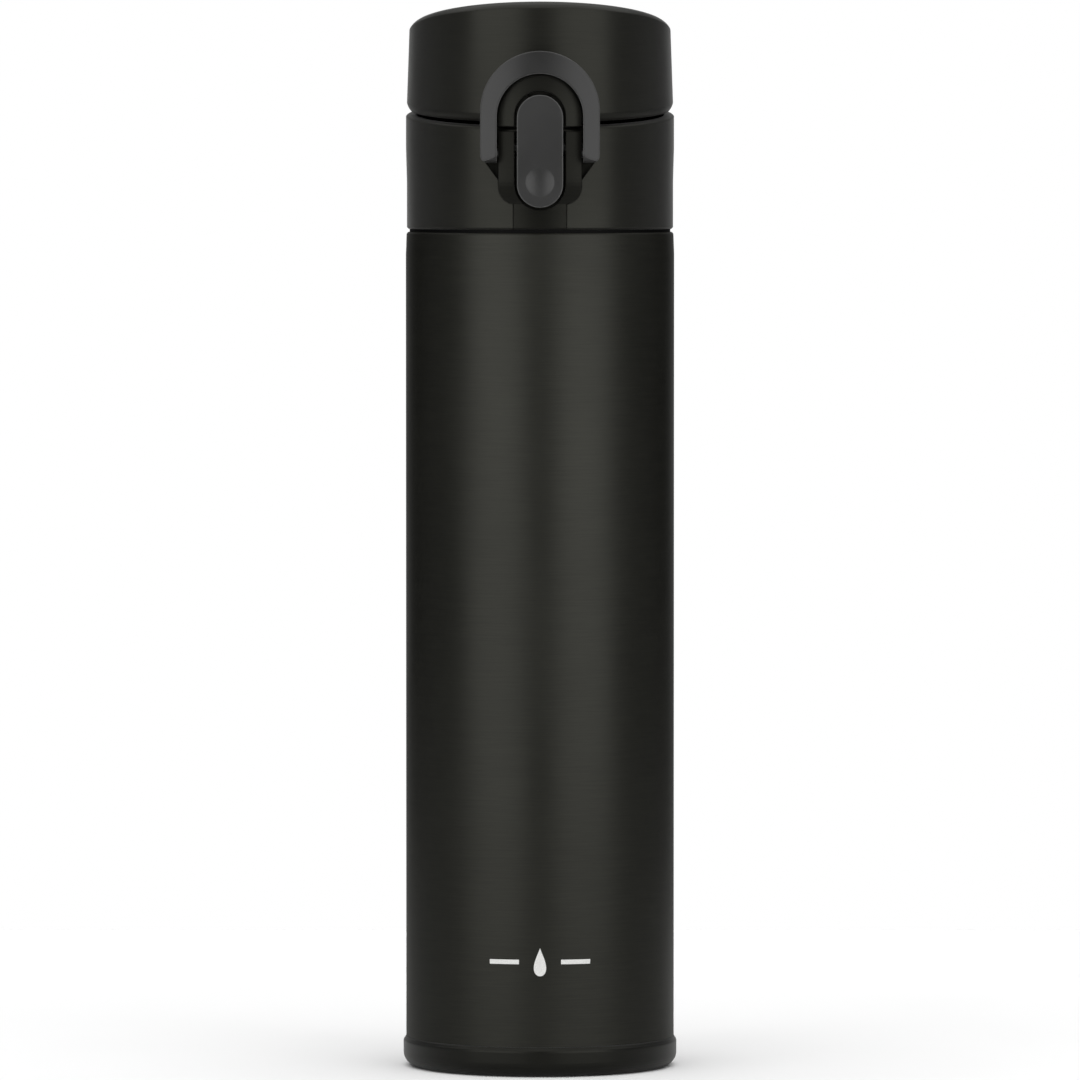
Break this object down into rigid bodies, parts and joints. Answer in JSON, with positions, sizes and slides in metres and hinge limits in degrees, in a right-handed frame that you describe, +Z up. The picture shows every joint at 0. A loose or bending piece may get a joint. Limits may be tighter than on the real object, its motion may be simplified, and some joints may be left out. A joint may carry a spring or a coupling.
{
  "type": "vacuum flask",
  "caption": "Slim double-walled steel vacuum flask with a screw-on cap unit: spring lid, rocker push button, swing-over lock ring and spout.",
  "frame": {"origin": "centre of the base's flat underside, on the bottle's axis", "axes": "+Z up the bottle's axis, -Y towards the latch at the front, +Y towards the hinge at the back, +X to the right seen from the front"},
  "size_m": [0.0604, 0.0686, 0.2345],
  "materials": {
    "painted_body": "satin paint over brushed steel",
    "bare_steel": "brushed",
    "dull_steel": "matte",
    "copper": "rolled foil",
    "solder": "cast, dull",
    "base_plastic": "satin",
    "black_plastic": "fine texture",
    "lid_plastic": "fine texture",
    "ring_plastic": "satin",
    "button_plastic": "satin",
    "spout_plastic": "polished",
    "black_rubber": "matte",
    "silicone": "soft",
    "wire_steel": "drawn wire"
  },
  "bodies": {
    "bottle": {"outer_shell": "painted_body", "neck_thread": "bare_steel", "inner_bottle": "bare_steel", "inner_bottom": "bare_steel", "copper_foil": "copper", "vacuum_end_plate": "dull_steel", "seal_solder": "solder", "getter": "dull_steel", "base_cup": "base_plastic", "shoulder_ring": "black_rubber"},
    "seal_carrier": {"mouth_seal": "silicone"},
    "cap": {"collar": "black_plastic", "cap_core": "black_plastic", "core_thread": "black_plastic", "spout": "spout_plastic", "latch_housing": "black_plastic", "button_pin": "wire_steel", "button_spring": "wire_steel", "hinge_pin": "wire_steel", "lid_spring": "wire_steel"},
    "lid": {"lid_shell": "lid_plastic", "lid_liner": "spout_plastic", "lid_seal": "silicone"},
    "ring": {"lock_ring": "ring_plastic"},
    "push_button": {"button": "button_plastic"}
  },
  "joints": [
    {"name": "cap_lift", "type": "slide", "parent": "bottle", "child": "seal_carrier", "axis": [0, 0, 1], "range_m": [0, 0.006]},
    {"name": "cap_turn", "type": "hinge", "parent": "seal_carrier", "child": "cap", "pos_m": [0, 0, 0.19], "axis": [0, 0, 1], "range_deg": [0, 540]},
    {"name": "lid_hinge", "type": "hinge", "parent": "cap", "child": "lid", "pos_m": [0, 0.0312, 0.2136], "axis": [-1, 0, 0], "range_deg": [0, 105]},
    {"name": "lock_ring_pivot", "type": "hinge", "parent": "cap", "child": "ring", "pos_m": [0, -0.0294, 0.2016], "axis": [1, 0, 0], "range_deg": [0, 90]},
    {"name": "button_press", "type": "hinge", "parent": "cap", "child": "push_button", "pos_m": [0, -0.0289, 0.2028], "axis": [1, 0, 0], "range_deg": [0, 7], "stiffness_Nm_per_rad": 0.03, "deforming": ["button_spring"]}
  ],
  "couplings": [
    {"joint": "cap_turn", "follows": "cap_lift", "rad_per_m": 1570.8}
  ]
}
